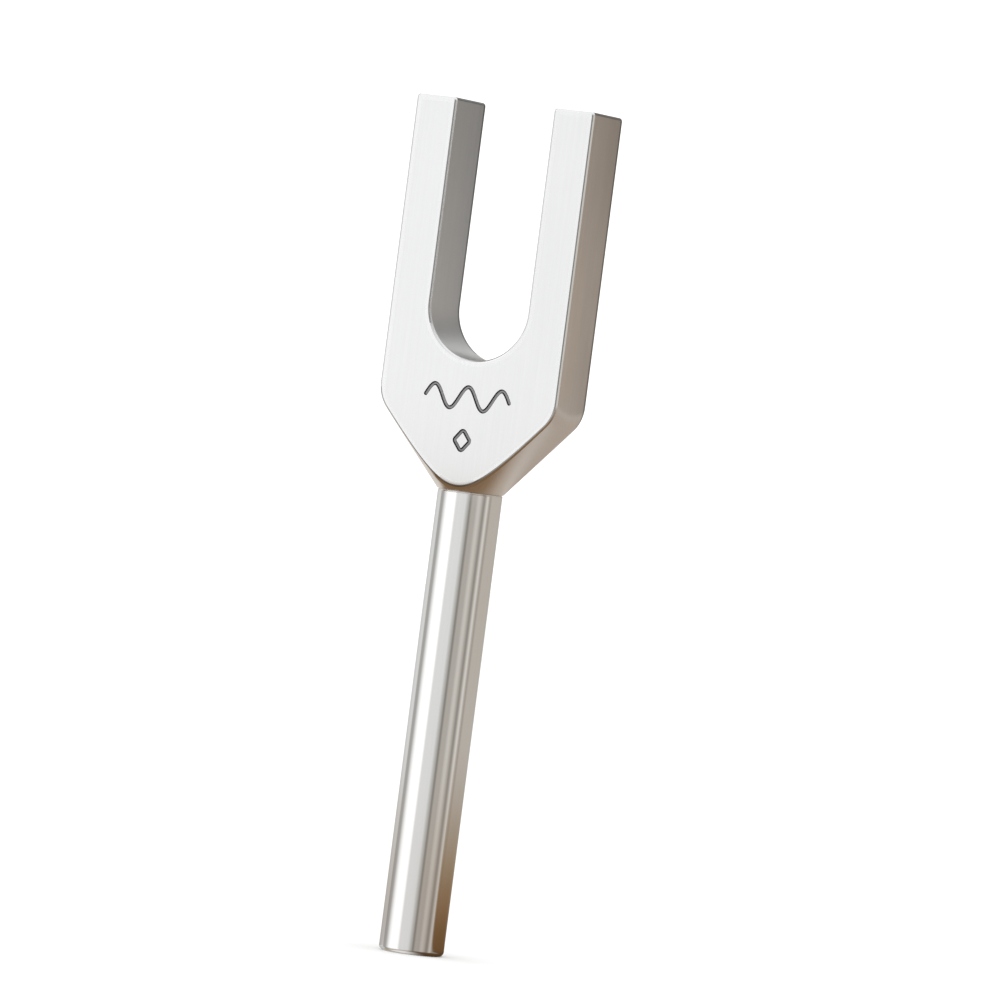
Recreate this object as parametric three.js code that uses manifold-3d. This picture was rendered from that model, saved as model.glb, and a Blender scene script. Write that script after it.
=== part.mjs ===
// Tuning fork: a U-shaped head of flat aluminium bar, turned to a cone at its lower end, on a
// turned round handle.
// Units are millimetres. The origin is the centre of the handle's flat foot, +Z runs along
// the handle to the prongs, +X runs across the two prongs, and the marked face looks along -Y.

import * as THREE from 'three';
import { mergeVertices } from 'three/addons/utils/BufferGeometryUtils.js';
import Module from 'manifold-3d';

// Driving dimensions.
const TOTAL_LENGTH = 115;
const HANDLE_LENGTH = 62.6;
const HANDLE_DIAMETER = 8.8;
const HEAD_WIDTH = 26.4;
const HEAD_THICKNESS = 9.6;
const SLOT_WIDTH = 14.4;
const SLOT_DEPTH = 34.9;

// Lower end of the head: a cone that starts a hair wider than the handle and is rounded
// where it runs out into the bar's sides. Its angle is measured from the handle's axis.
const CONE_FOOT_DIAMETER = 8.94;
const CONE_ANGLE = THREE.MathUtils.degToRad(40);
const SHOULDER_RADIUS = 5;
const BAR_CORNER_CLEARANCE = 0.05;

// Edges of the flat bar.
const PRONG_CORNER_RADIUS = 0.45;
const EDGE_CHAMFER = 0.3;

// Handle ends.
const FOOT_EDGE_RADIUS = 0.6;
const SEAM_CHAMFER = 0.2;

// Threaded stud that joins the two, and the blind holes that it screws into.
const STUD_DIAMETER = 4.8;
const STUD_LENGTH = 17;
const STUD_CHAMFER = 0.6;
const HOLE_DIAMETER = 5;
const HOLE_DEPTH = 9;
const DRILL_POINT_DEPTH = 1.4;

// Engraved marks on the front face: a sine wave above a small diamond. Their heights are
// measured upwards from the seam.
const MARK_DEPTH = 0.2;
const MARK_STROKE = 0.55;
const WAVE_HEIGHT_ON_HEAD = 12.4;
const WAVE_WIDTH = 12.4;
const WAVE_AMPLITUDE = 1.5;
const WAVE_PERIODS = 2.5;
const DIAMOND_HEIGHT_ON_HEAD = 6.7;
const DIAMOND_HALF_HEIGHT = 1.8;
const DIAMOND_HALF_WIDTH = 1.45;

// Fineness of the round surfaces.
const ROUND_SEGMENTS = 64;
const WAVE_STEPS = 72;
const STROKE_END_STEPS = 8;
const ARC_STEP = THREE.MathUtils.degToRad(6);

const headHeight = TOTAL_LENGTH - HANDLE_LENGTH;
const handleRadius = HANDLE_DIAMETER / 2;

const wasm = await Module();
wasm.setup();

// ---------------------------------------------------------------- geometry helpers

function solidFromGeometry(geometry) {
  const bare = geometry.clone();
  bare.deleteAttribute('normal');
  bare.deleteAttribute('uv');
  const merged = mergeVertices(bare, 1e-4);
  const mesh = new wasm.Mesh({
    numProp: 3,
    vertProperties: Float32Array.from(merged.attributes.position.array),
    triVerts: Uint32Array.from(merged.index.array),
  });
  return new wasm.Manifold(mesh);
}

function geometryFromSolid(solid) {
  const mesh = solid.getMesh();
  const indexed = new THREE.BufferGeometry();
  indexed.setAttribute('position', new THREE.BufferAttribute(mesh.vertProperties, 3));
  indexed.setIndex(new THREE.BufferAttribute(mesh.triVerts, 1));
  const faceted = indexed.toNonIndexed();
  faceted.computeVertexNormals();
  return faceted;
}

// Turned shape about Z from points of (radius, height), starting and ending on the axis.
function turned(profile) {
  const points = profile.map(([radius, height]) => new THREE.Vector2(radius, height));
  const geometry = new THREE.LatheGeometry(points, ROUND_SEGMENTS);
  return geometry.rotateX(Math.PI / 2);
}

// Stands a geometry that was extruded along its own Z on edge, centred on the XZ plane.
function standOnEdge(geometry, thickness) {
  return geometry.translate(0, 0, -thickness / 2).rotateX(Math.PI / 2);
}

// Points of the arc that rounds off one corner of an outline.
function roundedCorner(before, corner, after, radius) {
  const towardsBefore = before.clone().sub(corner).normalize();
  const towardsAfter = after.clone().sub(corner).normalize();
  const halfAngle = Math.acos(towardsBefore.dot(towardsAfter)) / 2;
  const tangentLength = radius / Math.tan(halfAngle);
  const bisector = towardsBefore.clone().add(towardsAfter).normalize();
  const centre = corner.clone().addScaledVector(bisector, radius / Math.sin(halfAngle));
  const start = corner.clone().addScaledVector(towardsBefore, tangentLength).sub(centre);
  const end = corner.clone().addScaledVector(towardsAfter, tangentLength).sub(centre);
  const turn = Math.atan2(start.cross(end), start.dot(end));
  const steps = Math.max(3, Math.ceil(Math.abs(turn) / ARC_STEP));
  return Array.from({ length: steps + 1 }, (_, step) =>
    start.clone().rotateAround(new THREE.Vector2(), (turn * step) / steps).add(centre));
}

// Closed outline from corners of [x, height, radius].
function outline(corners) {
  const places = corners.map(([x, height]) => new THREE.Vector2(x, height));
  const last = corners.length - 1;
  const points = corners.flatMap(([, , radius], index) => {
    const before = places[index === 0 ? last : index - 1];
    const after = places[index === last ? 0 : index + 1];
    return roundedCorner(before, places[index], after, radius);
  });
  return new THREE.Shape(points);
}

// Flat band of the stroke's width along a list of points, with round ends.
function strokeShape(points) {
  const halfStroke = MARK_STROKE / 2;
  const directions = points.map((point, index) => {
    const ahead = points[Math.min(index + 1, points.length - 1)];
    const behind = points[Math.max(index - 1, 0)];
    return ahead.clone().sub(behind).normalize();
  });
  const side = (index, turn) =>
    directions[index].clone().rotateAround(new THREE.Vector2(), turn)
      .multiplyScalar(halfStroke).add(points[index]);
  const roundEnd = (index, startTurn) =>
    Array.from({ length: STROKE_END_STEPS - 1 }, (_, step) =>
      side(index, startTurn + (Math.PI * (step + 1)) / STROKE_END_STEPS));
  const right = points.map((_, index) => side(index, -Math.PI / 2));
  const left = points.map((_, index) => side(index, Math.PI / 2)).reverse();
  const farEnd = roundEnd(points.length - 1, -Math.PI / 2);
  const nearEnd = roundEnd(0, Math.PI / 2);
  return new THREE.Shape([...right, ...farEnd, ...left, ...nearEnd]);
}

// ---------------------------------------------------------------- fork head

// Flat bar with the slot between the prongs. It runs on below the seam, where the turned
// shape cuts it off.
function slottedBar() {
  const halfWidth = HEAD_WIDTH / 2;
  const halfSlot = SLOT_WIDTH / 2;
  const slotFloor = headHeight - SLOT_DEPTH;
  const barEnd = -HEAD_THICKNESS;
  const shape = outline([
    [-halfWidth, barEnd, PRONG_CORNER_RADIUS],
    [halfWidth, barEnd, PRONG_CORNER_RADIUS],
    [halfWidth, headHeight, PRONG_CORNER_RADIUS],
    [halfSlot, headHeight, PRONG_CORNER_RADIUS],
    [halfSlot, slotFloor, halfSlot],
    [-halfSlot, slotFloor, halfSlot],
    [-halfSlot, headHeight, PRONG_CORNER_RADIUS],
    [-halfWidth, headHeight, PRONG_CORNER_RADIUS],
  ]);
  const straightDepth = HEAD_THICKNESS - 2 * EDGE_CHAMFER;
  const geometry = new THREE.ExtrudeGeometry(shape, {
    depth: straightDepth,
    bevelEnabled: true,
    bevelThickness: EDGE_CHAMFER,
    bevelSize: EDGE_CHAMFER,
    bevelOffset: -EDGE_CHAMFER,
    bevelSegments: 1,
  });
  return solidFromGeometry(standOnEdge(geometry, straightDepth));
}

// Everything inside the turned surface: the cone and, above it, a cylinder that just clears
// the corners of the bar.
function turnedShape() {
  const footRadius = CONE_FOOT_DIAMETER / 2;
  const outerRadius = Math.hypot(HEAD_WIDTH, HEAD_THICKNESS) / 2 + BAR_CORNER_CLEARANCE;
  const coneHeight = (outerRadius - footRadius) / Math.tan(CONE_ANGLE);
  const coneFoot = new THREE.Vector2(footRadius, 0);
  const shoulder = new THREE.Vector2(outerRadius, coneHeight);
  const topEdge = new THREE.Vector2(outerRadius, 2 * headHeight);
  const roundedShoulder = roundedCorner(coneFoot, shoulder, topEdge, SHOULDER_RADIUS);
  const profile = [coneFoot, ...roundedShoulder, topEdge].map((point) => point.toArray());
  return solidFromGeometry(turned([[0, 0], ...profile, [0, topEdge.y]]));
}

// Blind hole from the seam, ending in a drill point; direction is +1 upwards, -1 downwards.
function blindHole(direction) {
  const radius = HOLE_DIAMETER / 2;
  const mouth = -direction * DRILL_POINT_DEPTH;
  const profile = [
    [0, mouth],
    [radius, mouth],
    [radius, direction * HOLE_DEPTH],
    [0, direction * (HOLE_DEPTH + DRILL_POINT_DEPTH)],
  ];
  return solidFromGeometry(turned(direction > 0 ? profile : profile.reverse()));
}

function markCutter(shape) {
  const cutDepth = 2 * MARK_DEPTH;
  const geometry = new THREE.ExtrudeGeometry(shape, { depth: cutDepth, bevelEnabled: false });
  standOnEdge(geometry, cutDepth).translate(0, -HEAD_THICKNESS / 2, 0);
  return solidFromGeometry(geometry);
}

function waveMark() {
  const points = Array.from({ length: WAVE_STEPS + 1 }, (_, step) => {
    const along = step / WAVE_STEPS;
    const phase = 2 * Math.PI * WAVE_PERIODS * along;
    const height = WAVE_HEIGHT_ON_HEAD + WAVE_AMPLITUDE * Math.sin(phase);
    return new THREE.Vector2((along - 0.5) * WAVE_WIDTH, height);
  });
  return markCutter(strokeShape(points));
}

function diamondShape(halfWidth, halfHeight) {
  return [
    new THREE.Vector2(0, DIAMOND_HEIGHT_ON_HEAD - halfHeight),
    new THREE.Vector2(halfWidth, DIAMOND_HEIGHT_ON_HEAD),
    new THREE.Vector2(0, DIAMOND_HEIGHT_ON_HEAD + halfHeight),
    new THREE.Vector2(-halfWidth, DIAMOND_HEIGHT_ON_HEAD),
  ];
}

function diamondMark() {
  const slope = Math.hypot(DIAMOND_HALF_WIDTH, DIAMOND_HALF_HEIGHT);
  const insetX = (MARK_STROKE * slope) / DIAMOND_HALF_HEIGHT;
  const insetZ = (MARK_STROKE * slope) / DIAMOND_HALF_WIDTH;
  const shape = new THREE.Shape(diamondShape(DIAMOND_HALF_WIDTH, DIAMOND_HALF_HEIGHT));
  const inner = diamondShape(DIAMOND_HALF_WIDTH - insetX, DIAMOND_HALF_HEIGHT - insetZ);
  shape.holes.push(new THREE.Path(inner));
  return markCutter(shape);
}

function forkHeadGeometry() {
  const drilled = slottedBar().intersect(turnedShape()).subtract(blindHole(1));
  const marked = drilled.subtract(waveMark()).subtract(diamondMark());
  return geometryFromSolid(marked);
}

// ---------------------------------------------------------------- handle and stud

function handleGeometry() {
  const footCentre = new THREE.Vector2(0, -HANDLE_LENGTH);
  const footEdge = new THREE.Vector2(handleRadius, -HANDLE_LENGTH);
  const chamferStart = new THREE.Vector2(handleRadius, -SEAM_CHAMFER);
  const roundedFoot = roundedCorner(footCentre, footEdge, chamferStart, FOOT_EDGE_RADIUS);
  const side = [footCentre, ...roundedFoot, chamferStart].map((point) => point.toArray());
  const bar = turned([...side, [handleRadius - SEAM_CHAMFER, 0], [0, 0]]);
  return geometryFromSolid(solidFromGeometry(bar).subtract(blindHole(-1)));
}

function studGeometry() {
  const radius = STUD_DIAMETER / 2;
  const halfLength = STUD_LENGTH / 2;
  return turned([
    [0, -halfLength],
    [radius - STUD_CHAMFER, -halfLength],
    [radius, STUD_CHAMFER - halfLength],
    [radius, halfLength - STUD_CHAMFER],
    [radius - STUD_CHAMFER, halfLength],
    [0, halfLength],
  ]);
}

// ---------------------------------------------------------------- materials

function satinAluminium() {
  return new THREE.MeshStandardMaterial({ color: 0xe4e4e2, roughness: 0.38, metalness: 1 });
}

function polishedAluminium() {
  return new THREE.MeshStandardMaterial({ color: 0xdcdad7, roughness: 0.14, metalness: 1 });
}

function plainSteel() {
  return new THREE.MeshStandardMaterial({ color: 0x8d9094, roughness: 0.42, metalness: 1 });
}

// ---------------------------------------------------------------- assembly

function piece(name, geometry, material) {
  const mesh = new THREE.Mesh(geometry, material);
  mesh.name = name;
  return mesh;
}

const joint = new THREE.Group();
joint.position.z = HANDLE_LENGTH;
joint.add(
  piece('fork_head', forkHeadGeometry(), satinAluminium()),
  piece('handle', handleGeometry(), polishedAluminium()),
  piece('joining_stud', studGeometry(), plainSteel()),
);

const tuningFork = new THREE.Group();
tuningFork.name = 'tuning_fork';
tuningFork.add(joint);

export default tuningFork;
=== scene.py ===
import math

import bmesh
import bpy
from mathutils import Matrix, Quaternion, Vector


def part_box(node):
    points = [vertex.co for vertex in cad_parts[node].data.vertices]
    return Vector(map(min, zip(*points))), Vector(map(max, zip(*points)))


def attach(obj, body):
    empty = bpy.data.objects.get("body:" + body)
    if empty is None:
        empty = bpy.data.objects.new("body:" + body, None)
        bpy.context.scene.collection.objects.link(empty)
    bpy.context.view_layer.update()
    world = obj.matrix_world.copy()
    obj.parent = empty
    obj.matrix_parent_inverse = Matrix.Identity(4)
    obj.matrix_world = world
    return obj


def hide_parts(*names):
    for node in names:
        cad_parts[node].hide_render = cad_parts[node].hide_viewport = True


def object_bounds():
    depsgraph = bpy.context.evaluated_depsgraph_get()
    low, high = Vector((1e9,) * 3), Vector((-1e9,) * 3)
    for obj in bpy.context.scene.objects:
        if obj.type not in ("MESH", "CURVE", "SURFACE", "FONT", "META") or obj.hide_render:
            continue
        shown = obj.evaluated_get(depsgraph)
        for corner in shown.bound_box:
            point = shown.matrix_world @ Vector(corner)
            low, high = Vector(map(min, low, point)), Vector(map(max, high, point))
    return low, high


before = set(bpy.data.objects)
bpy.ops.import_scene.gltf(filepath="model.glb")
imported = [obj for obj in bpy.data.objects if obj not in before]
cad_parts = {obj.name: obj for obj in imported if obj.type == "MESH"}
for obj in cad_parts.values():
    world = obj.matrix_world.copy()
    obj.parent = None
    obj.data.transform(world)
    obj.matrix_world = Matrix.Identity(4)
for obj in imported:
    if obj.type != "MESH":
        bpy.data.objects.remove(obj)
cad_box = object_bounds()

# The pieces are shaped in millimetres and scaled to metres when they are finished.
MILLIMETRE = 0.001

# Points closer together than this, in metres, become one when a piece is finished.
WELD_DISTANCE = 1e-7

# The weighted normals of a piece follow its larger, flatter faces this much: 50 is neutral.
FLAT_FACE_WEIGHT = 80

# ------------------------------------------------------------------ sizes from the frame

head_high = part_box("fork_head")[1] / MILLIMETRE
handle_low, handle_high = (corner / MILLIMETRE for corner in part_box("handle"))
stud_low, stud_high = (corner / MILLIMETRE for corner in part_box("joining_stud"))

HALF_WIDTH = head_high.x
HALF_THICKNESS = head_high.y
TOP = head_high.z
SEAM = handle_high.z
HANDLE_RADIUS = handle_high.x
STUD_RADIUS = stud_high.x

# The head is a flat bar with a slot, turned to a cone at its lower end. It is built from
# sections, spaced by the given degrees round the cone's foot, and no radius or half-width of
# a section is smaller than the smallest span.
SLOT_HALF_WIDTH = 7.2
SLOT_DEPTH = 34.9
CONE_FOOT_RADIUS = 4.47
CONE_ANGLE = math.radians(40)
SHOULDER_REACH = 2.0
FOOT_SECTION_DEGREES = range(-84, 85, 7)
SMALLEST_SPAN = 0.02

# Rounded corners of the prongs, and the strips round the two flat faces: a flat rim, a facet
# darkened with painted shade and a bright facet, from each (inset from the outline, depth below
# the face) to the next, with how polished each strip is and which strip gets the painted shade.
PRONG_CORNER_RADIUS = 0.5
EDGE_SECTION = ((0.80, 0.0), (0.32, 0.0), (0.15, 0.07), (0.0, 0.312))
STRIP_POLISH = (0.6, 1.0, 1.0)
PAINTED_SHADE_STRIP = 1

# Strips of the sides next to the back's facets, counted from the back face, that get painted
# shade where they face right: a darker band along the back edge of the right-hand sides.
PAINTED_SHADE_SIDE_STRIPS = (3, 4, 5, 6)
FACING_RIGHT = 0.5

# The facet with painted shade gets no painted line where its normal rises by more than the first
# number, and a faint one where it faces left and rises by more than the second. A line of
# painted shade also runs along the rounded prong corners, where the normal's rise is between the
# last two.
RISE_WITHOUT_PAINTED_SHADE = 0.15
RISE_WITH_FAINT_PAINTED_SHADE = -0.05
FAINT_PAINTED_SHADE = 0.3
CORNER_PAINTED_SHADE = 0.9
CORNER_PAINTED_SHADE_RISES = (0.2, 0.95)

# Handle ends and the drilled holes.
FOOT_EDGE_RADIUS = 0.6
SEAM_CHAMFER = 0.17
TURNED_SOFTNESS = 0.09
HOLE_RADIUS = 2.5
HOLE_DEPTH = 9.0
DRILL_POINT = 1.4
HOLE_SEGMENTS = 64
HANDLE_SEGMENTS = 192

# Turned profiles start and end this close to the axis.
NEAR_AXIS = 0.01

# Thread of the stud.
THREAD_PITCH = 0.8
THREAD_DEPTH = 0.42
STUD_CHAMFER = 0.6
FLANK_START = 1.5
FLANK_SLOPE = 4.5
STUD_SEGMENTS = 72
STUD_STEPS_PER_PITCH = 12

# Engraved marks: a sine wave above a small diamond.
WAVE_HEIGHT = 12.4
WAVE_WIDTH = 12.4
WAVE_AMPLITUDE = 1.5
WAVE_PERIODS = 2.5
DIAMOND_HEIGHT = 6.7
DIAMOND_HALF_SIZE = Vector((1.18, 1.5))
DIAMOND_CORNER = 0.34
GROOVE_SECTION = (
    (0.296, -0.050),
    (0.274, 0.000),
    (0.240, 0.030),
    (0.214, 0.110),
    (0.150, 0.180),
    (0.055, 0.205),
)


# ------------------------------------------------------------------ mesh helpers

def mesh_object(name, points, faces):
    mesh = bpy.data.meshes.new(name)
    mesh.from_pydata([tuple(point) for point in points], [], faces)
    mesh.update()
    piece = bpy.data.objects.new(name, mesh)
    bpy.context.scene.collection.objects.link(piece)
    return piece


def face_outwards(piece):
    mesh = bmesh.new()
    mesh.from_mesh(piece.data)
    bmesh.ops.recalc_face_normals(mesh, faces=mesh.faces)
    mesh.to_mesh(piece.data)
    mesh.free()


def cut(target, tool):
    """Cuts the tool out of the target. The tool is then removed."""
    modifier = target.modifiers.new("boolean", "BOOLEAN")
    modifier.operation = "DIFFERENCE"
    modifier.solver = "EXACT"
    modifier.object = tool
    modifier.material_mode = "TRANSFER"
    bpy.context.view_layer.update()
    graph = bpy.context.evaluated_depsgraph_get()
    result = bpy.data.meshes.new_from_object(target.evaluated_get(graph))
    target.modifiers.remove(modifier)
    target.data = result
    bpy.data.objects.remove(tool)


def quads_between(first, second):
    """Faces that bridge two closed rings of point numbers."""
    count = len(first)
    return [
        (first[i], first[(i + 1) % count], second[(i + 1) % count], second[i])
        for i in range(count)
    ]


def stacked_rings(name, rings, ends_meet=False):
    """Closed solid through rings of equally many points, capped at both ends unless the last
    ring is joined to the first."""
    count = len(rings[0])
    numbers = [list(range(i * count, (i + 1) * count)) for i in range(len(rings))]
    following = numbers[1:] + numbers[:1] if ends_meet else numbers[1:]
    faces = [face for a, b in zip(numbers, following) for face in quads_between(a, b)]
    if not ends_meet:
        faces += [tuple(numbers[0]), tuple(reversed(numbers[-1]))]
    piece = mesh_object(name, [point for ring in rings for point in ring], faces)
    face_outwards(piece)
    return piece


def turned(name, profile, segments):
    """Solid of revolution about Z from (radius, height) points that all lie off the axis."""
    turns = [2 * math.pi * i / segments for i in range(segments)]
    rings = [
        [Vector((radius * math.cos(a), radius * math.sin(a), height)) for a in turns]
        for radius, height in profile
    ]
    return stacked_rings(name, rings)


def finish_piece(piece, cad_node, sharp_angle=32):
    """Scales a finished piece to metres, welds its points, smooths it and ties it to the
    frame."""
    for vertex in piece.data.vertices:
        vertex.co *= MILLIMETRE
    mesh = bmesh.new()
    mesh.from_mesh(piece.data)
    bmesh.ops.remove_doubles(mesh, verts=mesh.verts, dist=WELD_DISTANCE)
    limit = math.radians(sharp_angle)
    for edge in mesh.edges:
        edge.smooth = len(edge.link_faces) == 2 and edge.calc_face_angle() < limit
    for face in mesh.faces:
        face.smooth = True
    mesh.to_mesh(piece.data)
    mesh.free()
    normals = piece.modifiers.new("flat_faces_stay_flat", "WEIGHTED_NORMAL")
    normals.keep_sharp = True
    normals.weight = FLAT_FACE_WEIGHT
    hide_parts(cad_node)
    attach(piece, "root")


# ------------------------------------------------------------------ flat outlines

def rounded_corner(before, corner, after, radius, steps):
    """Points of the arc that rounds off one corner of a flat outline."""
    to_before = (before - corner).normalized()
    to_after = (after - corner).normalized()
    half_angle = to_before.angle(to_after) / 2
    centre = corner + (to_before + to_after).normalized() * radius / math.sin(half_angle)
    reach = radius / math.tan(half_angle)
    start = corner + to_before * reach - centre
    end = corner + to_after * reach - centre
    turn = math.atan2(start.x * end.y - start.y * end.x, start.dot(end))
    points = []
    for step in range(steps + 1):
        angle = turn * step / steps
        cosine, sine = math.cos(angle), math.sin(angle)
        spoke = Vector((start.x * cosine - start.y * sine, start.x * sine + start.y * cosine))
        points.append(centre + spoke)
    return points


def rounded_outline(corners, steps=6):
    """Closed outline from corners of (x, height, radius)."""
    places = [Vector((x, height)) for x, height, _ in corners]
    points = []
    for i, (_, _, radius) in enumerate(corners):
        after = places[(i + 1) % len(places)]
        points += rounded_corner(places[i - 1], places[i], after, radius, steps)
    return points


# ------------------------------------------------------------------ fork head

def cone_height(x, depth, inset):
    """Height of the turned cone at a place on the head, moved inwards by inset."""
    beyond_foot = max(math.hypot(x, depth) - CONE_FOOT_RADIUS, 0.0)
    return SEAM + beyond_foot / math.tan(CONE_ANGLE) + inset


def cone_side(depth, inset):
    """Right lower half of a section: along the foot, up the cone and round the shoulder."""
    half_width = HALF_WIDTH - inset
    foot_half = math.sqrt(max(CONE_FOOT_RADIUS ** 2 - depth ** 2, SMALLEST_SPAN ** 2))
    shoulder_start = half_width - SHOULDER_REACH * math.sin(CONE_ANGLE)
    foot_steps, cone_steps, shoulder_steps = 6, 44, 14
    places = [foot_half * step / foot_steps for step in range(foot_steps)]
    places += [
        foot_half + (shoulder_start - foot_half) * step / cone_steps
        for step in range(cone_steps + 1)
    ]
    points = [Vector((x, cone_height(x, depth, inset))) for x in places]
    direction = (points[-1] - points[-2]).normalized()
    start = points[-1]
    corner = start + direction * (half_width - start.x) / direction.x
    end = corner + Vector((0, SHOULDER_REACH))
    for step in range(1, shoulder_steps + 1):
        t = step / shoulder_steps
        points.append(start * (1 - t) ** 2 + corner * 2 * t * (1 - t) + end * t ** 2)
    return points


def prong_side(inset):
    """Right upper half of a section: over the end of the prong and down into the slot."""
    half_width = HALF_WIDTH - inset
    half_slot = SLOT_HALF_WIDTH + inset
    top = TOP - inset
    slot_floor = TOP - SLOT_DEPTH - inset
    below_outer, outer = Vector((half_width, slot_floor)), Vector((half_width, top))
    inner, below_inner = Vector((half_slot, top)), Vector((half_slot, slot_floor))
    middle = Vector((0, slot_floor))
    radius = max(PRONG_CORNER_RADIUS - inset, SMALLEST_SPAN)
    corner_steps, slot_steps = 6, 32
    return (
        rounded_corner(below_outer, outer, inner, radius, corner_steps)
        + rounded_corner(outer, inner, below_inner, radius, corner_steps)
        + rounded_corner(inner, below_inner, middle, half_slot, slot_steps)
    )


def head_section(depth, inset):
    """Closed outline of the head, cut parallel to its flat faces at a depth from its middle."""
    right = cone_side(depth, inset) + prong_side(inset)
    left = [Vector((-point.x, point.y)) for point in reversed(right[1:-1])]
    return [Vector((point.x, depth, point.y)) for point in right + left]


def head_sections():
    """Depth and inset of every section from front to back. The middle ones are spaced so that
    they follow the round foot of the cone."""
    turns = [math.radians(degrees) for degrees in FOOT_SECTION_DEGREES]
    middle = [(CONE_FOOT_RADIUS * math.sin(turn), 0.0) for turn in turns]
    front = [(depth - HALF_THICKNESS, inset) for inset, depth in EDGE_SECTION]
    back = [(-depth, inset) for depth, inset in reversed(front)]
    return front + middle + back


def slotted_cone():
    """The head before drilling and engraving, with a note of how polished its edges are and
    where they get painted shade.
    """
    sections = head_sections()
    rings = [head_section(depth, inset) for depth, inset in sections]
    head = stacked_rings("prong_head", rings)
    last_strip = len(rings) - 2
    polish, line = [], []
    for number, face in enumerate(head.data.polygons):
        strip = number // len(rings[0])
        from_edge = min(strip, abs(last_strip - strip))
        on_side = strip > last_strip or from_edge >= len(STRIP_POLISH)
        polish.append(0.0 if on_side else STRIP_POLISH[from_edge])
        has_painted_shade = from_edge == PAINTED_SHADE_STRIP and not on_side
        # Painted shade: a darker band on the right-facing side strips near the back face, and
        # lines of painted shade along the edges.
        if last_strip - strip in PAINTED_SHADE_SIDE_STRIPS and face.normal.x > FACING_RIGHT:
            line.append(1.0)
        else:
            line.append(painted_edge_shade_strength(face.normal, face.center.z, has_painted_shade))
    for name, values in (("polish", polish), ("painted_edge_shade", line)):
        attribute = head.data.attributes.new(name, "FLOAT", "FACE")
        attribute.data.foreach_set("value", values)
    return head


def painted_edge_shade_strength(normal, height, on_painted_shade_strip):
    """How dark the painted shade along an edge is for the direction that its facet faces."""
    if on_painted_shade_strip:
        if normal.z > RISE_WITHOUT_PAINTED_SHADE:
            return 0.0
        return FAINT_PAINTED_SHADE if normal.x < 0 and normal.z > RISE_WITH_FAINT_PAINTED_SHADE else 1.0
    least, most = CORNER_PAINTED_SHADE_RISES
    on_corner = height > TOP - PRONG_CORNER_RADIUS and least < normal.z < most
    on_side = abs(normal.y) < 0.5
    return CORNER_PAINTED_SHADE if on_corner and on_side else 0.0


def blind_hole(direction):
    """Drill for the hole on one side of the seam: direction is 1 for up, -1 for down."""
    profile = [
        (NEAR_AXIS, SEAM - direction),
        (HOLE_RADIUS, SEAM - direction),
        (HOLE_RADIUS, SEAM + direction * HOLE_DEPTH),
        (NEAR_AXIS, SEAM + direction * (HOLE_DEPTH + DRILL_POINT)),
    ]
    return turned("drill", profile, HOLE_SEGMENTS)


def wave_point(along):
    """Point of the wave and its direction, for along from 0 to 1."""
    frequency = 2 * math.pi * WAVE_PERIODS
    x = (along - 0.5) * WAVE_WIDTH
    z = SEAM + WAVE_HEIGHT + WAVE_AMPLITUDE * math.sin(frequency * along)
    rise = WAVE_AMPLITUDE * frequency * math.cos(frequency * along)
    return Vector((x, z)), Vector((WAVE_WIDTH, rise)).normalized()


def wave_outline(half_stroke, steps=120, end_steps=10):
    """Closed outline of the wave's stroke, with round ends."""
    samples = [wave_point(step / steps) for step in range(steps + 1)]
    sides = {-1: [], 1: []}
    for point, direction in samples:
        across = Vector((-direction.y, direction.x)) * half_stroke
        sides[1].append(point + across)
        sides[-1].append(point - across)

    def round_end(point, direction):
        across = Vector((-direction.y, direction.x))
        angles = [math.pi * i / end_steps for i in range(1, end_steps)]
        return [
            point + (direction * math.sin(a) - across * math.cos(a)) * half_stroke
            for a in angles
        ]

    far_end = round_end(*samples[-1])
    near_end = round_end(samples[0][0], -samples[0][1])
    return sides[-1] + far_end + sides[1][::-1] + near_end


def diamond_outline(offset):
    """The diamond's centre line, moved outwards by offset."""
    size = DIAMOND_HALF_SIZE
    half_width = size.x + offset * size.length / size.y
    half_height = size.y + offset * size.length / size.x
    middle = SEAM + DIAMOND_HEIGHT
    radius = DIAMOND_CORNER + offset
    return rounded_outline([
        (0.0, middle - half_height, radius),
        (half_width, middle, radius),
        (0.0, middle + half_height, radius),
        (-half_width, middle, radius),
    ])


def on_front(points, depth):
    return [Vector((point.x, depth - HALF_THICKNESS, point.y)) for point in points]


def wave_cutter():
    rings = [on_front(wave_outline(half), depth) for half, depth in GROOVE_SECTION]
    return stacked_rings("wave_cutter", rings)


def diamond_cutter():
    """Ring-shaped cutter: down the outer wall, across the floor and up the inner wall."""
    outer = [on_front(diamond_outline(half), depth) for half, depth in GROOVE_SECTION]
    inner = [on_front(diamond_outline(-half), depth) for half, depth in GROOVE_SECTION]
    return stacked_rings("diamond_cutter", outer + inner[::-1], ends_meet=True)


def build_head(satin, engraved):
    head = slotted_cone()
    head.data.materials.append(satin)
    for tool, material in (
        (blind_hole(1), satin), (wave_cutter(), engraved), (diamond_cutter(), engraved),
    ):
        tool.data.materials.append(material)
        cut(head, tool)
    finish_piece(head, "fork_head", sharp_angle=18)


# ------------------------------------------------------------------ handle and stud

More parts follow.
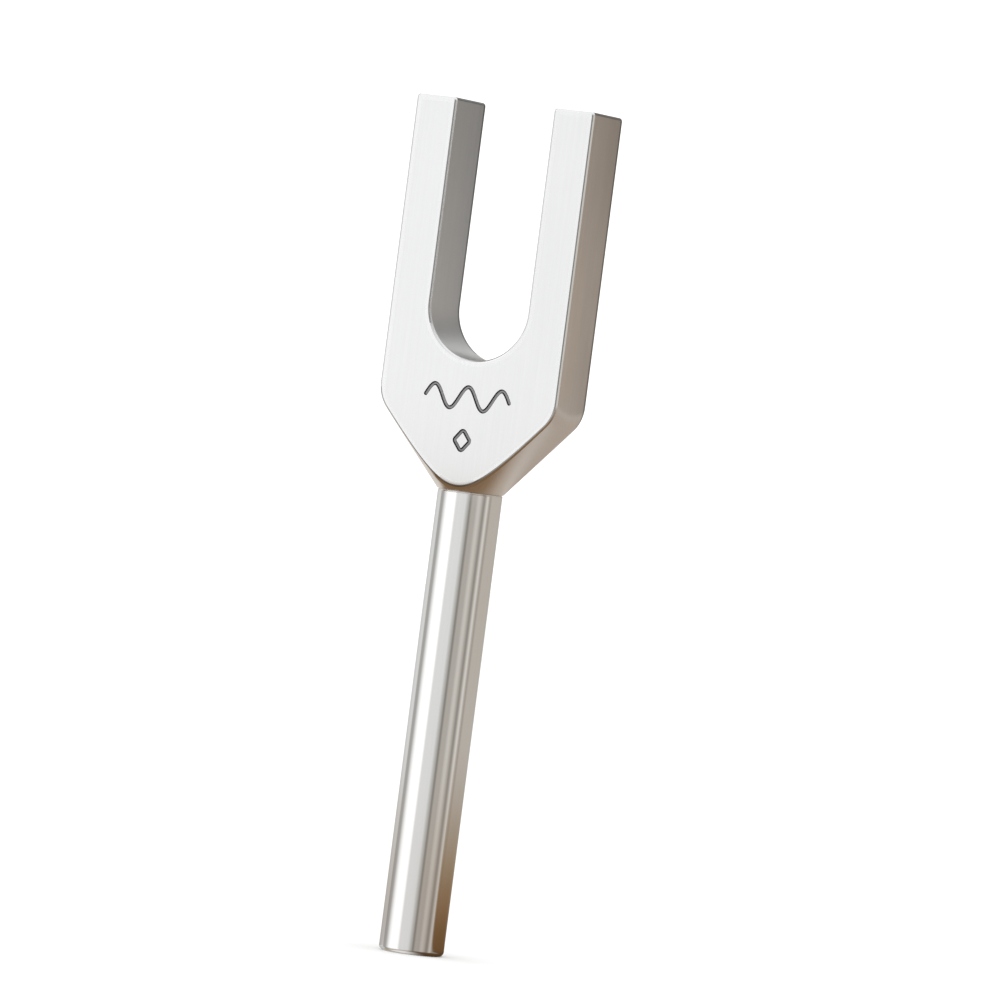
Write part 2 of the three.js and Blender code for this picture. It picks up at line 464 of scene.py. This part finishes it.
def build_handle(polished):
    foot_centre = Vector((NEAR_AXIS, handle_low.z))
    foot_edge = Vector((HANDLE_RADIUS, handle_low.z))
    chamfer_start = Vector((HANDLE_RADIUS, SEAM - SEAM_CHAMFER))
    chamfer_end = Vector((HANDLE_RADIUS - SEAM_CHAMFER, SEAM))
    top_centre = Vector((NEAR_AXIS, SEAM))
    foot_steps, soft_steps = 12, 4
    profile = [foot_centre]
    profile += rounded_corner(
        foot_centre, foot_edge, chamfer_start, FOOT_EDGE_RADIUS, foot_steps
    )
    profile += rounded_corner(
        foot_edge, chamfer_start, chamfer_end, TURNED_SOFTNESS, soft_steps
    )
    profile += rounded_corner(
        chamfer_start, chamfer_end, top_centre, TURNED_SOFTNESS, soft_steps
    )
    profile.append(top_centre)
    handle = turned("round_handle", profile, HANDLE_SEGMENTS)
    handle.data.materials.append(polished)
    drill = blind_hole(-1)
    drill.data.materials.append(polished)
    cut(handle, drill)
    finish_piece(handle, "handle")


def thread_radius(turn, height):
    """Radius of the thread's surface: flat crests and roots with sloping flanks."""
    phase = (height / THREAD_PITCH - turn) % 1.0
    ridge = min(max(FLANK_START - abs(phase - 0.5) * FLANK_SLOPE, 0.0), 1.0)
    from_end = min(height - stud_low.z, stud_high.z - height)
    chamfer = STUD_RADIUS - max(STUD_CHAMFER - from_end, 0.0)
    root = STUD_RADIUS - THREAD_DEPTH
    return min(root + THREAD_DEPTH * ridge, chamfer)


def build_stud(steel):
    length = stud_high.z - stud_low.z
    steps = round(length / THREAD_PITCH * STUD_STEPS_PER_PITCH)
    rings = []
    for step in range(steps + 1):
        height = stud_low.z + length * step / steps
        ring = []
        for i in range(STUD_SEGMENTS):
            turn = i / STUD_SEGMENTS
            radius = thread_radius(turn, height)
            angle = 2 * math.pi * turn
            ring.append(Vector((radius * math.cos(angle), radius * math.sin(angle), height)))
        rings.append(ring)
    stud = stacked_rings("threaded_stud", rings)
    stud.data.materials.append(steel)
    finish_piece(stud, "joining_stud", sharp_angle=50)


# ------------------------------------------------------------------ materials

class Graph:
    """Adds nodes to a node tree: inputs are numbers, colours or other nodes' outputs."""

    def __init__(self, tree):
        self.tree = tree
        tree.nodes.clear()

    def add(self, kind, inputs=(), **settings):
        node = self.tree.nodes.new(kind)
        for name, value in settings.items():
            setattr(node, name, value)
        for name, value in dict(inputs).items():
            if isinstance(value, bpy.types.NodeSocket):
                self.tree.links.new(value, node.inputs[name])
            else:
                node.inputs[name].default_value = value
        return node

    def maths(self, operation, *values):
        node = self.add("ShaderNodeMath", enumerate(values), operation=operation)
        return node.outputs[0]

    def distance(self, x, y):
        squares = self.maths("ADD", self.maths("MULTIPLY", x, x), self.maths("MULTIPLY", y, y))
        return self.maths("SQRT", squares)

    def spread(self, value, low, high):
        """Maps a value from 0..1 to low..high."""
        node = self.add("ShaderNodeMapRange", {"Value": value, "To Min": low, "To Max": high})
        return node.outputs[0]

    def blend(self, factor, first, second):
        """First where the factor is 0, second where it is 1."""
        inputs = {0: factor, 2: first, 3: second}
        return self.add("ShaderNodeMix", inputs, data_type="FLOAT").outputs[0]

    def mix_colour(self, factor, first, second):
        """As blend, for colours."""
        inputs = {0: factor, 6: first, 7: second}
        return self.add("ShaderNodeMix", inputs, data_type="RGBA").outputs[2]

    def noise(self, coordinates, scale, detail=3.0, roughness=0.55):
        """Noise with a scale for each axis, in waves per metre."""
        place = self.add(
            "ShaderNodeMapping", {"Vector": coordinates, "Scale": scale}, vector_type="POINT"
        )
        texture = self.add("ShaderNodeTexNoise", {
            "Vector": place.outputs[0],
            "Scale": 1.0,
            "Detail": detail,
            "Roughness": roughness,
        })
        return texture.outputs["Fac"]


def fade(graph, value, start, end):
    """0 at the start value, 1 at the end value, smooth between."""
    node = graph.add("ShaderNodeMapRange", {
        "Value": value, "From Min": start, "From Max": end,
    }, interpolation_type="SMOOTHSTEP")
    return node.outputs[0]


# Scales of a metal's patches and scuffs along x, y and z, in waves per metre, and how far
# each kind of unevenness reaches.
PATCH_SCALES = (160, 160, 90)
SCUFF_SCALES = (900, 900, 500)
COARSE_SHARE = 0.55
PATCH_SHARE = 0.35
GRAIN_CONTRAST = (0.3, 0.7)
POLISH_SCUFFS = (0.4, 1.25)
# The scuffs also break up the painted shade lines along the edges.
PAINTED_SHADE_SCUFFS = (0.7, 1.15)

# How far a groove's wall leans up, down or to the right where its painted shade starts and is
# full.
UP_OR_DOWN_SHADE = (0.02, 0.30)
RIGHT_SHADE = (0.3, 0.8)


def metal(name, colours, grain_scales, roughness, bump_height, edges=None, wall_shade=None):
    """Brushed metal. Colours are (darkest, lightest), roughness is (smoothest, roughest) and
    grain_scales are (fine, coarse), in waves per metre along x, y and z. The bump height is in
    millimetres. Edges are (roughness of polished edges, brightness of the painted shade lines
    along the edges), and wall_shade is the brightness of the painted shade on groove walls that
    face up, down or to the right."""
    material = bpy.data.materials.new(name)
    material.use_nodes = True
    graph = Graph(material.node_tree)
    place = graph.add("ShaderNodeTexCoord").outputs["Object"]
    fine = graph.noise(place, grain_scales[0], detail=4.0)
    coarse = graph.noise(place, grain_scales[1], detail=2.0)
    patches = graph.noise(place, PATCH_SCALES, detail=4.0)
    grain = graph.blend(COARSE_SHARE, fine, coarse)
    mottled = graph.blend(PATCH_SHARE, grain, patches)
    weakest, strongest = GRAIN_CONTRAST
    contrast = graph.add("ShaderNodeMapRange", {
        "Value": mottled, "From Min": weakest, "From Max": strongest,
    }).outputs[0]
    rough = graph.spread(contrast, *roughness)
    tint = graph.mix_colour(contrast, (*colours[0], 1), (*colours[1], 1))
    if edges is not None:
        edge_roughness, painted_shade_brightness = edges
        polish = graph.add("ShaderNodeAttribute", attribute_name="polish").outputs["Fac"]
        line = graph.add("ShaderNodeAttribute", attribute_name="painted_edge_shade").outputs["Fac"]
        scuffs = graph.noise(place, SCUFF_SCALES, detail=5.0, roughness=0.65)
        rubbed = graph.maths("MULTIPLY", polish, graph.spread(scuffs, *POLISH_SCUFFS))
        rubbed = graph.add("ShaderNodeClamp", {"Value": rubbed}).outputs[0]
        rough = graph.blend(rubbed, rough, edge_roughness)
        # Painted shade: the edge lines darken the colour, broken up by scuffs.
        broken = graph.maths("MULTIPLY", line, graph.spread(scuffs, *PAINTED_SHADE_SCUFFS))
        dark = [channel * painted_shade_brightness for channel in colours[0]]
        tint = graph.mix_colour(broken, tint, (*dark, 1))
    if wall_shade is not None:
        # Painted shade: groove walls that face up, down or to the right are darkened by the way
        # they face.
        normal = graph.add("ShaderNodeNewGeometry").outputs["Normal"]
        right, _, up = graph.add("ShaderNodeSeparateXYZ", {"Vector": normal}).outputs
        up_or_down = fade(graph, graph.maths("ABSOLUTE", up), *UP_OR_DOWN_SHADE)
        shaded = graph.maths("MAXIMUM", up_or_down, fade(graph, right, *RIGHT_SHADE))
        dark = [channel * wall_shade for channel in colours[0]]
        tint = graph.mix_colour(shaded, tint, (*dark, 1))
    bump = graph.add("ShaderNodeBump", {
        "Height": grain,
        "Strength": 1.0,
        "Distance": bump_height * MILLIMETRE,
    })
    shader = graph.add("ShaderNodeBsdfPrincipled", {
        "Base Color": tint,
        "Metallic": 1.0,
        "Roughness": rough,
        "Normal": bump.outputs[0],
    })
    output = graph.add("ShaderNodeOutputMaterial")
    graph.tree.links.new(shader.outputs[0], output.inputs[0])
    return material


def satin_aluminium():
    return metal(
        "satin_aluminium",
        colours=((0.850, 0.854, 0.857), (0.920, 0.925, 0.928)),
        grain_scales=((7000, 7000, 140), (2200, 2200, 40)),
        roughness=(0.27, 0.37),
        bump_height=0.0016,
        # Polished edges, and painted shade lines along the edges at this brightness.
        edges=(0.14, 0.45),
    )


def engraved_aluminium():
    # The grooves are much darker than the satin head, and walls that face up, down or to the
    # right get painted shade on top of that.
    return metal(
        "engraved_aluminium",
        colours=((0.25, 0.25, 0.255), (0.40, 0.40, 0.405)),
        grain_scales=((6000, 6000, 6000), (1500, 1500, 1500)),
        roughness=(0.38, 0.55),
        bump_height=0.004,
        wall_shade=0.17,
    )


def polished_aluminium():
    return metal(
        "polished_aluminium",
        colours=((0.88, 0.875, 0.865), (0.93, 0.926, 0.918)),
        grain_scales=((6500, 6500, 60), (1800, 1800, 12)),
        roughness=(0.045, 0.085),
        bump_height=0.0006,
    )


def machined_steel():
    return metal(
        "machined_steel",
        colours=((0.42, 0.425, 0.44), (0.58, 0.585, 0.6)),
        grain_scales=((4000, 4000, 9000), (900, 900, 2500)),
        roughness=(0.25, 0.45),
        bump_height=0.003,
    )


# ------------------------------------------------------------------ studio

DISC_SEGMENTS = 96


def flat_disc(name, radius, height):
    points = [
        (radius * math.cos(2 * math.pi * i / DISC_SEGMENTS),
         radius * math.sin(2 * math.pi * i / DISC_SEGMENTS), height)
        for i in range(DISC_SEGMENTS)
    ]
    disc = mesh_object(name, points, [tuple(range(DISC_SEGMENTS))])
    return disc


# What a polished cylinder sees around it at the height of the fork: directions in degrees
# anticlockwise from straight ahead of the marked face (-Y), seen from above, each with the
# colour of the studio there. Between two directions the colour changes evenly.
SOFT_BOX = (1.18, 1.18, 1.18)
SCREEN = (0.76, 0.76, 0.755)
DIM_SCREEN = (0.45, 0.42, 0.385)
WARM_WALL = (0.50, 0.46, 0.415)

STUDIO_RING = (
    (-158, (0.62, 0.61, 0.60)),
    (-130, (0.62, 0.62, 0.615)),
    (-112, (0.71, 0.71, 0.70)),
    (-100, (0.71, 0.71, 0.70)),
    (-94, (0.39, 0.385, 0.375)),
    (-81, (0.41, 0.405, 0.395)),
    (-71, (0.78, 0.78, 0.775)),
    (-63, (1.05, 1.05, 1.05)),
    (-56, SOFT_BOX),
    (-27, SOFT_BOX),
    (-20, SCREEN),
    (12, SCREEN),
    (19, (0.57, 0.565, 0.55)),
    (25, (0.41, 0.40, 0.375)),
    (29, (0.25, 0.235, 0.215)),
    (32, (0.28, 0.265, 0.24)),
    (37, DIM_SCREEN),
    (50, DIM_SCREEN),
    (57, (0.58, 0.55, 0.51)),
    (62, (0.62, 0.59, 0.545)),
    (67, (0.56, 0.525, 0.485)),
    (73, (0.42, 0.39, 0.355)),
    (78, (0.29, 0.27, 0.245)),
    (83, (0.34, 0.315, 0.285)),
    (89, (0.60, 0.57, 0.525)),
    (94, (0.71, 0.68, 0.635)),
    (99, (0.50, 0.465, 0.43)),
    (105, (0.36, 0.325, 0.29)),
    (113, WARM_WALL),
    (160, WARM_WALL),
    (180, (0.45, 0.42, 0.375)),
    (198, (0.60, 0.59, 0.58)),
)
CEILING_AND_FLOOR = (0.98, 0.98, 0.98)
DARK_BACK = (0.13, 0.125, 0.12)
LOWER_ROOM = (0.50, 0.43, 0.33)
PAPER_WHITE = (1.25, 1.25, 1.25)

# Where the back, the ceiling, the lower room and the floor take over from the ring: each
# starts at the first number and is full at the second, as the direction rises or sinks, and
# the back only where the direction's y is large as well.
DARK_BACK_RISE = (0.07, 0.22)
DARK_BACK_Y = (0.3, 0.7)
CEILING_RISE = (0.45, 0.75)
LOWER_ROOM_RISE = (-0.45, -0.60)
FLOOR_RISE = (-0.65, -0.85)


def colour_ramp(graph, value, stops):
    """Colour for a value from 0 to 1, from (value, colour) stops."""
    ramp = graph.add("ShaderNodeValToRGB", {"Fac": value})
    elements = ramp.color_ramp.elements
    elements.remove(elements[1])
    for number, (position, colour) in enumerate(stops):
        element = elements.new(position) if number else elements[0]
        element.position = position
        element.color = (*colour, 1)
    return ramp.outputs["Color"]


def stepped_colour(graph, value, stops):
    """Colour for a value from (value, colour) stops, evenly changing between them."""
    low, high = stops[0][0], stops[-1][0]
    place = graph.add("ShaderNodeMapRange", {"Value": value, "From Min": low, "From Max": high})
    placed = [((at - low) / (high - low), colour) for at, colour in stops]
    return colour_ramp(graph, place.outputs[0], placed)


def azimuth_turns(graph, x, y, first_degrees):
    """How far round from a first azimuth the direction (x, y) is, in turns from 0 to 1."""
    azimuth = graph.maths("ARCTAN2", x, graph.maths("MULTIPLY", y, -1.0))
    from_first = graph.maths("SUBTRACT", azimuth, math.radians(first_degrees))
    turns = graph.maths("DIVIDE", from_first, math.tau)
    return graph.maths("FRACT", graph.maths("ADD", turns, 1.0))


def studio_world():
    """White for the camera and the paper; a ring of screens and soft boxes for the metal."""
    world = bpy.data.worlds.new("studio")
    bpy.context.scene.world = world
    world.use_nodes = True
    graph = Graph(world.node_tree)
    direction = graph.add("ShaderNodeTexCoord").outputs["Generated"]
    x, y, z = graph.add("ShaderNodeSeparateXYZ", {"Vector": direction}).outputs
    first = STUDIO_RING[0][0]
    ring = [((degrees - first) / 360, colour) for degrees, colour in STUDIO_RING]
    seen = colour_ramp(graph, azimuth_turns(graph, x, y, first), ring)
    behind = graph.maths(
        "MULTIPLY", fade(graph, z, *DARK_BACK_RISE), fade(graph, y, *DARK_BACK_Y)
    )
    seen = graph.mix_colour(behind, seen, (*DARK_BACK, 1))
    for rise, colour in (
        (CEILING_RISE, CEILING_AND_FLOOR),
        (LOWER_ROOM_RISE, LOWER_ROOM),
        (FLOOR_RISE, CEILING_AND_FLOOR),
    ):
        seen = graph.mix_colour(fade(graph, z, *rise), seen, (*colour, 1))
    path = graph.add("ShaderNodeLightPath").outputs
    plain = graph.maths("MAXIMUM", path["Is Camera Ray"], path["Is Diffuse Ray"])
    colour = graph.mix_colour(plain, seen, (*PAPER_WHITE, 1))
    background = graph.add("ShaderNodeBackground", {"Color": colour})
    output = graph.add("ShaderNodeOutputWorld")
    graph.tree.links.new(background.outputs[0], output.inputs[0])


def only_in_reflections(thing):
    thing.visible_camera = False
    thing.visible_diffuse = False
    thing.visible_shadow = False
    thing.visible_transmission = False
    thing.visible_volume_scatter = False


def glow(name, build_colour, build_opacity=None):
    """Material of a reflected surface that glows: a plain painted colour, faded out by its
    opacity.
    """
    material = bpy.data.materials.new(name)
    material.use_nodes = True
    graph = Graph(material.node_tree)
    place = graph.add("ShaderNodeTexCoord").outputs["Object"]
    x, y, z = graph.add("ShaderNodeSeparateXYZ", {"Vector": place}).outputs
    surface = graph.add("ShaderNodeEmission", {"Color": build_colour(graph, x, y, z)}).outputs[0]
    if build_opacity is not None:
        clear = graph.add("ShaderNodeBsdfTransparent").outputs[0]
        mix = graph.add("ShaderNodeMixShader", {0: build_opacity(graph, x, y, z)})
        graph.tree.links.new(clear, mix.inputs[1])
        graph.tree.links.new(surface, mix.inputs[2])
        surface = mix.outputs[0]
    output = graph.add("ShaderNodeOutputMaterial")
    graph.tree.links.new(surface, output.inputs[0])
    return material


# The brown table top behind and to the right of the fork, seen only in reflections, most of
# all in the polished handle. It glows with painted light: colours by distance from the foot, in
# metres, darkest next to the foot as a painted contact shadow.
TABLE_STOPS = (
    (0.00, (0.04, 0.025, 0.015)),
    (0.005, (0.10, 0.055, 0.025)),
    (0.02, (0.155, 0.083, 0.036)),
    (0.06, (0.18, 0.10, 0.045)),
    (0.12, (0.24, 0.145, 0.075)),
    (0.25, (0.30, 0.215, 0.135)),
    (0.45, (0.36, 0.29, 0.215)),
    (0.80, (0.44, 0.385, 0.325)),
)


def table_colour(graph, x, y, z):
    return stepped_colour(graph, graph.distance(x, y), TABLE_STOPS)


# How strongly the table shows in each direction, from 0 to 1: degrees as in the studio ring.
TABLE_DIRECTIONS = (
    (0, 0.06),
    (20, 0.10),
    (30, 0.12),
    (60, 0.25),
    (76, 0.25),
    (92, 0.30),
    (100, 1.0),
    (165, 1.0),
    (205, 0.50),
    (230, 0.35),
    (262, 0.38),
    (282, 0.10),
    (310, 0.03),
    (335, 0.06),
    (360, 0.06),
)

# Lengths in metres. The table fades away with distance, and shows fully just under the foot,
# where its dark middle is a painted contact shadow, but less to the left there.
TABLE_RADIUS = 0.8
TABLE_BELOW_FOOT = 0.00003
TABLE_FADE = (0.78, 0.1)
UNDER_FOOT_FADE = (0.0075, 0.0045)
FOOT_LEFT_TO_RIGHT = (0.0005, 0.0035)
FOOT_LEFT_OPACITY = 0.2


def table_opacity(graph, x, y, z):
    stops = [(degrees / 360, (strength,) * 3) for degrees, strength in TABLE_DIRECTIONS]
    directions = stepped_colour(graph, azimuth_turns(graph, x, y, 0), stops)
    distance = graph.distance(x, y)
    far = graph.maths("MULTIPLY", directions, fade(graph, distance, *TABLE_FADE))
    to_the_right = graph.spread(fade(graph, x, *FOOT_LEFT_TO_RIGHT), FOOT_LEFT_OPACITY, 1.0)
    # Painted contact shadow under the foot, fainter to the left.
    near = fade(graph, distance, *UNDER_FOOT_FADE)
    under_foot = graph.maths("MULTIPLY", near, to_the_right)
    return graph.maths("MAXIMUM", far, under_foot)


def reflected_table():
    height = handle_low.z * MILLIMETRE - TABLE_BELOW_FOOT
    table = flat_disc("table_in_reflections", TABLE_RADIUS, height)
    table.data.materials.append(glow("brown_table_with_painted_shadow", table_colour, table_opacity))
    only_in_reflections(table)


# Card close behind the head, seen only in reflections, most of all in the satin sides. It glows
# with painted light: colours across it, in metres. It is a little brighter lower down.
CARD_STOPS = (
    (-0.012, (0.62, 0.62, 0.61)),
    (-0.004, (0.40, 0.40, 0.395)),
    (0.003, (0.055, 0.052, 0.048)),
    (0.010, (0.37, 0.36, 0.345)),
    (0.017, (0.32, 0.30, 0.275)),
    (0.022, (0.135, 0.115, 0.093)),
    (0.027, (0.205, 0.172, 0.142)),
    (0.034, (0.41, 0.335, 0.275)),
    (0.060, (0.50, 0.42, 0.35)),
)
CARD_BEHIND = 0.032
CARD_LOW = 0.072
CARD_HIGH = 0.150
CARD_SHADE_HEIGHTS = (0.122, 0.082)
CARD_SHADES = (0.92, 1.28)


def card_colour(graph, x, y, z):
    across = stepped_colour(graph, x, CARD_STOPS)
    shade = graph.blend(fade(graph, z, *CARD_SHADE_HEIGHTS), *CARD_SHADES)
    grey = graph.add("ShaderNodeCombineXYZ", {"X": shade, "Y": shade, "Z": shade}).outputs[0]
    product = graph.add("ShaderNodeVectorMath", {0: across, 1: grey}, operation="MULTIPLY")
    return product.outputs[0]


def reflected_card():
    left, right = CARD_STOPS[0][0], CARD_STOPS[-1][0]
    card = mesh_object("card_in_reflections", [
        (left, CARD_BEHIND, CARD_LOW), (right, CARD_BEHIND, CARD_LOW),
        (right, CARD_BEHIND, CARD_HIGH), (left, CARD_BEHIND, CARD_HIGH),
    ], [(0, 1, 2, 3)])
    card.data.materials.append(glow("shaded_card", card_colour))
    only_in_reflections(card)


# Shelf just under the cone, seen only in reflections, most of all in the cone. It glows with
# painted light: colours from the front to the back of it, in metres. Its left end is lighter,
# behind the marked face.
SHELF_STOPS = (
    (-0.080, (0.93, 0.93, 0.93)),
    (-0.012, (0.82, 0.81, 0.79)),
    (-0.006, (0.17, 0.10, 0.05)),
    (-0.0035, (0.24, 0.15, 0.085)),
    (-0.0012, (0.43, 0.35, 0.28)),
    (0.0025, (0.56, 0.50, 0.44)),
    (0.008, (0.45, 0.385, 0.325)),
    (0.016, (0.42, 0.345, 0.285)),
    (0.030, (0.42, 0.345, 0.285)),
    (0.080, (0.44, 0.37, 0.31)),
)
SHELF_LEFT_END = (0.74, 0.69, 0.63)
SHELF_LEFT_X = (-0.0018, -0.0036)
SHELF_LEFT_Y = (-0.0045, -0.0032)
SHELF_BELOW_SEAM = 0.0003


def shelf_colour(graph, x, y, z):
    from_front = stepped_colour(graph, y, SHELF_STOPS)
    left = fade(graph, x, *SHELF_LEFT_X)
    left_and_behind = graph.maths("MULTIPLY", left, fade(graph, y, *SHELF_LEFT_Y))
    return graph.mix_colour(left_and_behind, from_front, (*SHELF_LEFT_END, 1))


def reflected_shelf():
    height = SEAM * MILLIMETRE - SHELF_BELOW_SEAM
    shelf = flat_disc("shelf_in_reflections", SHELF_STOPS[-1][0], height)
    shelf.data.materials.append(glow("warm_shelf", shelf_colour))
    only_in_reflections(shelf)


# White paper that the fork stands on, in metres. It isn't seen in reflections.
PAPER_RADIUS = 2.4
PAPER_BELOW_FOOT = 0.00005


def paper_floor():
    height = handle_low.z * MILLIMETRE - PAPER_BELOW_FOOT
    floor = flat_disc("paper_floor", PAPER_RADIUS, height)
    floor.visible_glossy = False
    material = bpy.data.materials.new("white_paper")
    material.use_nodes = True
    shader = material.node_tree.nodes["Principled BSDF"]
    shader.inputs["Base Color"].default_value = (0.9, 0.9, 0.9, 1)
    shader.inputs["Roughness"].default_value = 0.9
    shader.inputs["Specular IOR Level"].default_value = 0.0
    floor.data.materials.append(material)


def camera():
    """Stands a little to the right of the marked face, level with it and slightly rolled."""
    azimuth = math.radians(24.65)
    elevation = math.radians(0.52)
    roll = math.radians(7.36)
    distance = 1.0773
    aim_right, aim_up = 0.0041, 0.0045
    right = Vector((math.cos(azimuth), math.sin(azimuth), 0))
    back = Vector((
        math.sin(azimuth) * math.cos(elevation),
        -math.cos(azimuth) * math.cos(elevation),
        math.sin(elevation),
    ))
    centre = (cad_box[0] + cad_box[1]) / 2
    target = centre + right * aim_right + Vector((0, 0, aim_up))
    lens = bpy.data.cameras.new("camera")
    lens.lens = 288
    lens.sensor_width = 36
    lens.clip_start = 0.05
    lens.clip_end = 20
    eye = bpy.data.objects.new("camera", lens)
    bpy.context.scene.collection.objects.link(eye)
    eye.location = target + back * distance
    eye.rotation_mode = "QUATERNION"
    eye.rotation_quaternion = back.to_track_quat("Z", "Y") @ Quaternion((0, 0, 1), roll)
    bpy.context.scene.camera = eye


# ------------------------------------------------------------------ assembly

camera()
build_head(satin_aluminium(), engraved_aluminium())
build_handle(polished_aluminium())
build_stud(machined_steel())
studio_world()
paper_floor()
reflected_table()
reflected_card()
reflected_shelf()
bpy.context.scene.view_settings.view_transform = "Standard"
